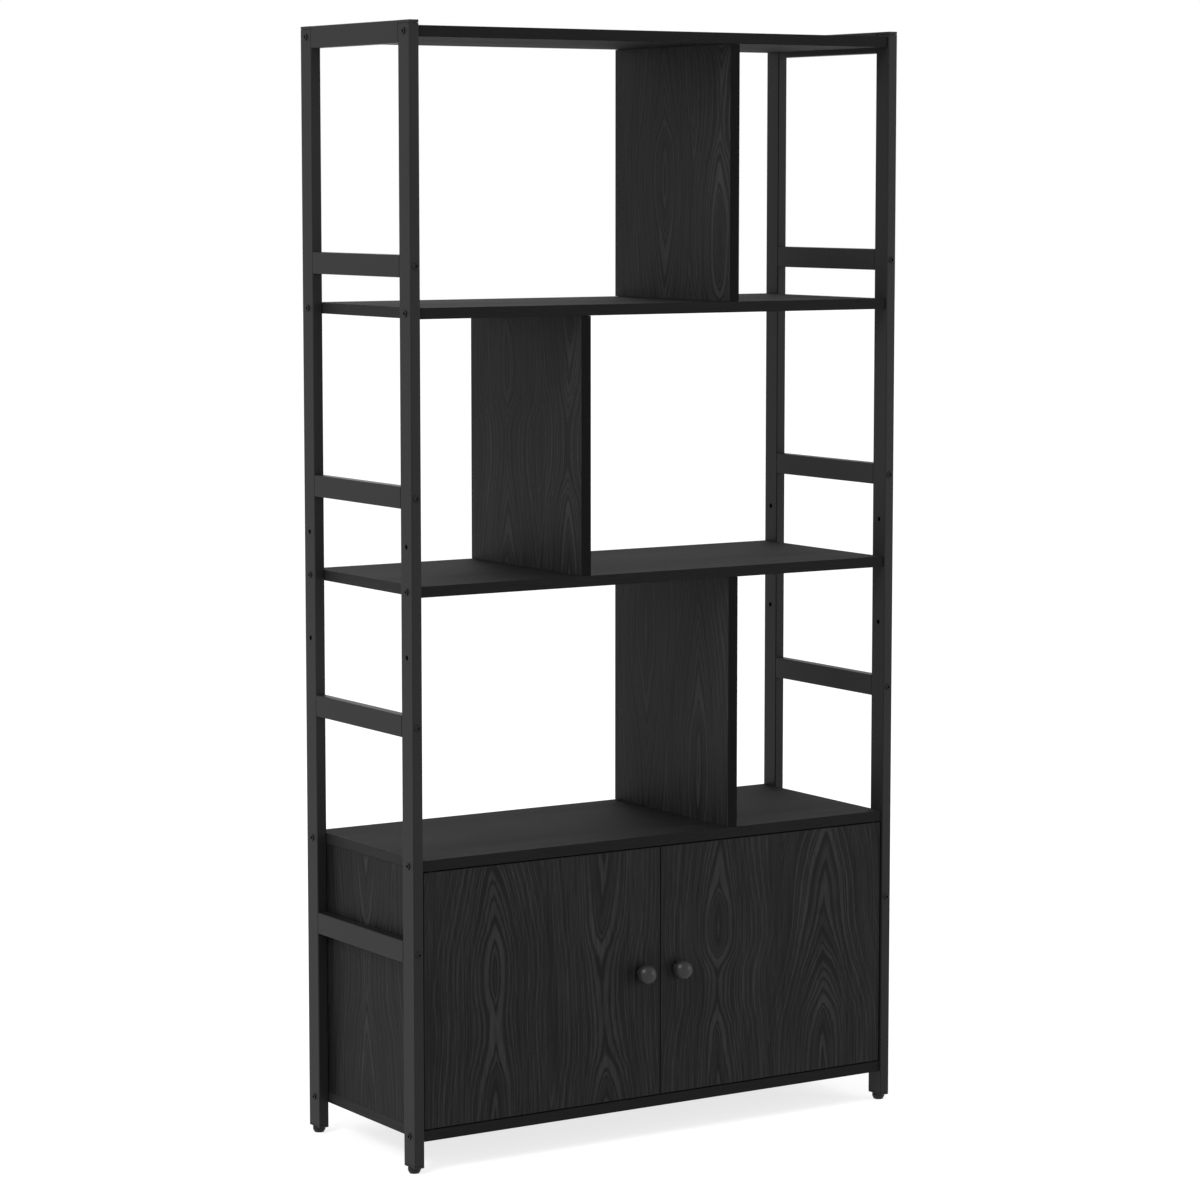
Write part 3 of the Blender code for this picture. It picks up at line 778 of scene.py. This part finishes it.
def add_boards():
    """Panels, dividers, cabinet sides, doors and the cabinet back."""
    for number, panel in enumerate(PANELS):
        add_board(panel, shelf_oak(f"{panel}_oak", 0.02 * number), Z, (Y, X))
    for divider in ("top_divider", "upper_divider", "middle_divider"):
        low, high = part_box(divider)
        add_board(divider, divider_oak(divider, low.z, high.z), X, (Y,))
    for side in SIDES:
        add_board(f"{side}_cabinet_side", SIDE_OAK, X, (Y,))
    add_board("left_door", LEFT_DOOR_OAK, Y, (X, Z), "left_door")
    add_board("right_door", RIGHT_DOOR_OAK, Y, (X, Z), "right_door")
    low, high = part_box("cabinet_back")
    back = rounded_box(low, high, 0.0003, 2)
    piece("cabinet_back_board", back, BOARD, "frame", ["cabinet_back"])


# Fittings


def add_knob(side):
    """A turned ball knob on its short neck, which flares where it meets the door."""
    low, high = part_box(f"{side}_knob")
    centre = (low + high) / 2
    radius = (high.x - low.x) / 2
    door_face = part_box(f"{side}_door")[0].y
    length = door_face - low.y
    widest, neck, back = KNOB_WIDEST * length, KNOB_NECK * radius, KNOB_BACK * length
    profile = [(0, length)] + arc((0, widest), (radius, length - widest), 86, 0, 18)
    turn = math.degrees(math.acos(neck / radius))
    profile += arc((0, widest), (radius, back), 0, -turn, 10)[1:]
    foot = profile[-1][1]
    for k in range(1, 7):
        t = k / 6
        profile.append((neck * (1 + 0.16 * t * t), foot - t * (foot - SEAT_GAP)))
    profile.append((0, SEAT_GAP))
    place = aimed((centre.x, door_face, centre.z), (0, -1, 0))
    shape = lathe_bmesh(profile, 72)
    piece(f"{side}_knob_turned", shape, KNOB, f"{side}_door", [f"{side}_knob"], place, 50)


def cross_head(radius, height, recess):
    """A screw head with a cross recess, standing on z = 0."""
    profile = [(0, height)] + arc((0, 0), (radius, height), 80, 0, 8) + [(radius, -0.0004), (0, -0.0004)]
    arms = []
    for turn in (0, 90):
        arm = box_bmesh((-radius * 0.55, -radius * 0.12, height - recess), (radius * 0.55, radius * 0.12, 1))
        arms.append(moved(arm, Matrix.Rotation(math.radians(turn), 4, "Z")))
    return cut(lathe_bmesh(profile, 32), *arms)


def add_catch():
    """A housing with a pocket for each door's magnet, a plate and two poles in each, and two screws."""
    low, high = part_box("magnetic_catch")
    housing = rounded_box(low + Vector((0, 0.0004, 0)), high, 0.0012, 3)

    def block(middle_x, half, front, back, bottom, top, width, segments):
        near = (middle_x - half, low.y + front, low.z + bottom)
        far = (middle_x + half, low.y + back, high.z - top)
        return rounded_box(near, far, width, segments)

    pockets, poles = [], []
    for sign in SIDES.values():
        out = sign * MAGNET_OUT
        pockets.append(block(out, 0.0068, -0.002, 0.0022, 0.0028, 0.0034, 0.0004, 1))
        for pole in (-POLE_OUT, POLE_OUT):
            poles.append(block(out + pole, 0.0009, 0, 0.006, 0.0034, 0.0040, 0.0003, 2))
        poles.append(block(out, 0.0036, 0.0009, 0.006, 0.0036, 0.0042, 0.0003, 2))
    mesh = cut(housing, merged(pockets))
    piece("magnetic_catch_housing", mesh, PLASTIC, "frame", ["magnetic_catch"])
    piece("magnetic_catch_poles", merged(poles), BRIGHT, "frame")
    head = cross_head(0.0028, 0.0012, 0.0009)
    for side, sign in SIDES.items():
        spot = (sign * CATCH_SCREW_OUT, (low.y + high.y) / 2 + 0.0015, low.z + 0.00005)
        screw = head if side == "left" else head.copy()
        name = f"magnetic_catch_{side}_screw"
        piece(name, screw, BRIGHT, "frame", (), aimed(spot, (0, 0, -1)))


def add_strike(side):
    """A plate on the back of a door, with one countersunk screw."""
    node = f"{side}_strike_plate"
    low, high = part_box(node)
    plate = bar_bmesh(low, high, Y, 0.0018, 5, 0.0002)
    seat = lathe_bmesh([(0, 0.001), (0.0032, 0.001), (0.0018, -0.0009), (0, -0.0009)], 32)
    centre = (low + high) / 2
    place = aimed((centre.x, high.y, centre.z), (0, 1, 0))
    mesh = cut(plate, moved(seat, place))
    piece(f"{node}_pressing", mesh, BRIGHT, f"{side}_door", [node])
    head = cross_head(0.0022, 0.0003, 0.0005)
    place = aimed((centre.x, high.y - 0.0004, centre.z), (0, 1, 0))
    piece(f"{node}_screw", head, BRIGHT, f"{side}_door", (), place)


def add_pivots(side):
    """Pins in the cabinet top and base panel, and bushes in the door, whose thin flanges run together."""
    for where, up in (("lower", 1), ("upper", -1)):
        add_pin(f"{side}_door_{where}_pin", up)
        add_bush(f"{side}_door_{where}_bush", up, f"{side}_door")


def add_pin(node, up):
    """A pin pressed into a panel, with a thin flange for the bush to run on."""
    low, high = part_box(node)
    half = (high.z - low.z) / 2
    base = PIN_SEAT + SEAT_GAP - half
    flange, radius, wide = PIVOT_FLANGE, PIN_RADIUS, PIN_FLANGE_RADIUS
    profile = [(0, half), (radius - PIN_EASE, half), (radius, half - PIN_EASE), (radius, base + flange)]
    profile += [(wide - flange / 3, base + flange), (wide, base + flange * 2 / 3), (wide, base)]
    profile += [(radius, base), (radius, PIN_EASE - half), (radius - PIN_EASE, -half), (0, -half)]
    place = aimed((low + high) / 2, (0, 0, up))
    piece(f"{node}_turned", lathe_bmesh(profile, 40), ZINC, "frame", [node], place)


def add_bush(node, up, body):
    """A flanged bush, bored for the pin."""
    low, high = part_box(node)
    half = (high.z - low.z) / 2
    collar = PIVOT_FLANGE - half
    flange, radius, wide, bore = PIVOT_FLANGE, BUSH_RADIUS, BUSH_FLANGE_RADIUS, BUSH_BORE
    profile = [(radius, half), (radius, collar), (wide - flange / 3, collar), (wide, collar - flange / 3)]
    profile += [(wide, flange / 3 - half), (wide - flange / 3, -half), (bore + flange, -half)]
    profile += [(bore, flange - half), (bore, half)]
    place = aimed((low + high) / 2, (0, 0, up))
    piece(f"{node}_moulding", lathe_bmesh(profile, 40), PLASTIC, body, [node], place)


# Studio

WHITE = (1, 1, 1, 1)
FLOOR_SIZE = 60
FLOOR_COLOUR = (0.30, 0.30, 0.30, 1)
FLOOR_GLOW = 0.76
# Name, place, diameter and power in watts
LIGHTS = (
    ("key", (-3.3, -1.3, 3.5), 1.7, 120),
    ("fill", (4.3, -3.9, 1.4), 2.4, 62),
    ("rim", (1.0, 4.0, 3.2), 2.5, 30),
)
LIGHTS_AIM = Vector((0, 0, 0.8))
# Fitted to the photograph's straight edges, without its vertical shift
CAMERA_PLACE = (-2.9237, -4.5357, 1.3412)
CAMERA_TILT = 83.725
CAMERA_TURN = -32.693
CAMERA_LENS = 114.73


def add_studio():
    """A white world, a pale floor that also glows a little, and three soft lights."""
    world = bpy.data.worlds.new("studio")
    bpy.context.scene.world = world
    world.use_nodes = True
    background = world.node_tree.nodes["Background"]
    background.inputs["Color"].default_value = WHITE
    background.inputs["Strength"].default_value = 1.0

    half = FLOOR_SIZE / 2
    floor_mesh = mesh_of(box_bmesh((-half, -half, -0.05), (half, half, 0)), "floor")
    floor = bpy.data.objects.new("floor", floor_mesh)
    bpy.context.scene.collection.objects.link(floor)
    pale = Shader("pale_floor", 0.9, 0.1)
    pale.surface.inputs["Base Color"].default_value = FLOOR_COLOUR
    pale.surface.inputs["Emission Color"].default_value = WHITE
    pale.surface.inputs["Emission Strength"].default_value = FLOOR_GLOW
    floor_mesh.materials.append(pale.material)

    for name, place, size, power in LIGHTS:
        add_light(name, place, size, power)


def add_light(name, place, size, power):
    """A round soft light, aimed at the middle of the bookcase."""
    data = bpy.data.lights.new(name, "AREA")
    data.shape = "DISK"
    data.size = size
    data.energy = power
    light = bpy.data.objects.new(name, data)
    bpy.context.scene.collection.objects.link(light)
    light.location = place
    light.rotation_euler = (LIGHTS_AIM - Vector(place)).to_track_quat("-Z", "Y").to_euler()


def add_camera():
    data = bpy.data.cameras.new("camera")
    data.sensor_width = 36
    data.lens = CAMERA_LENS
    data.clip_end = 200
    camera = bpy.data.objects.new("camera", data)
    bpy.context.scene.collection.objects.link(camera)
    camera.location = CAMERA_PLACE
    camera.rotation_euler = (math.radians(CAMERA_TILT), 0, math.radians(CAMERA_TURN))
    bpy.context.scene.camera = camera


for side in SIDES:
    for end in ENDS:
        add_post(side, end)
        add_cap(side, end)
        add_insert(side, end)
        add_foot(side, end)
    for number in RAILS:
        add_rail(side, number)
    add_knob(side)
    add_strike(side)
    add_pivots(side)
add_bolts()
add_boards()
add_catch()
add_studio()
add_camera()
bpy.context.scene.view_settings.view_transform = "Standard"
